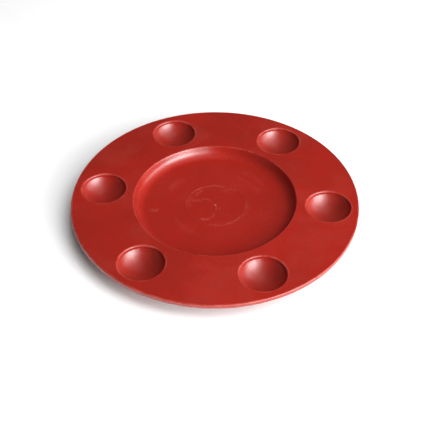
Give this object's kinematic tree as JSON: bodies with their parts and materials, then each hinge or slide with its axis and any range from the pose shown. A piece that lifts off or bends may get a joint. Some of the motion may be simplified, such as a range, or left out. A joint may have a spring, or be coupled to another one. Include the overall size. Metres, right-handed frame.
{
  "type": "blind flange",
  "caption": "Round moulded plastic blind flange: a thin red disc with a dished centre and a ring of blind bowl-shaped bolt pockets, for closing off a flanged opening.",
  "frame": {"origin": "on the flange axis, at the level of the flat tips of the six pegs on which the flange stands when it lies face up", "axes": "+Z is the flange axis and points out of the front face with the recess and the pockets; +X points at the centre of one bolt pocket; +Y completes the right-handed frame"},
  "size_m": [0.2, 0.2, 0.0142],
  "materials": {
    "red_plastic": "semi-gloss moulded polyethylene, self-coloured red"
  },
  "bodies": {
    "root": {"blind_flange": "red_plastic"}
  },
  "joints": []
}
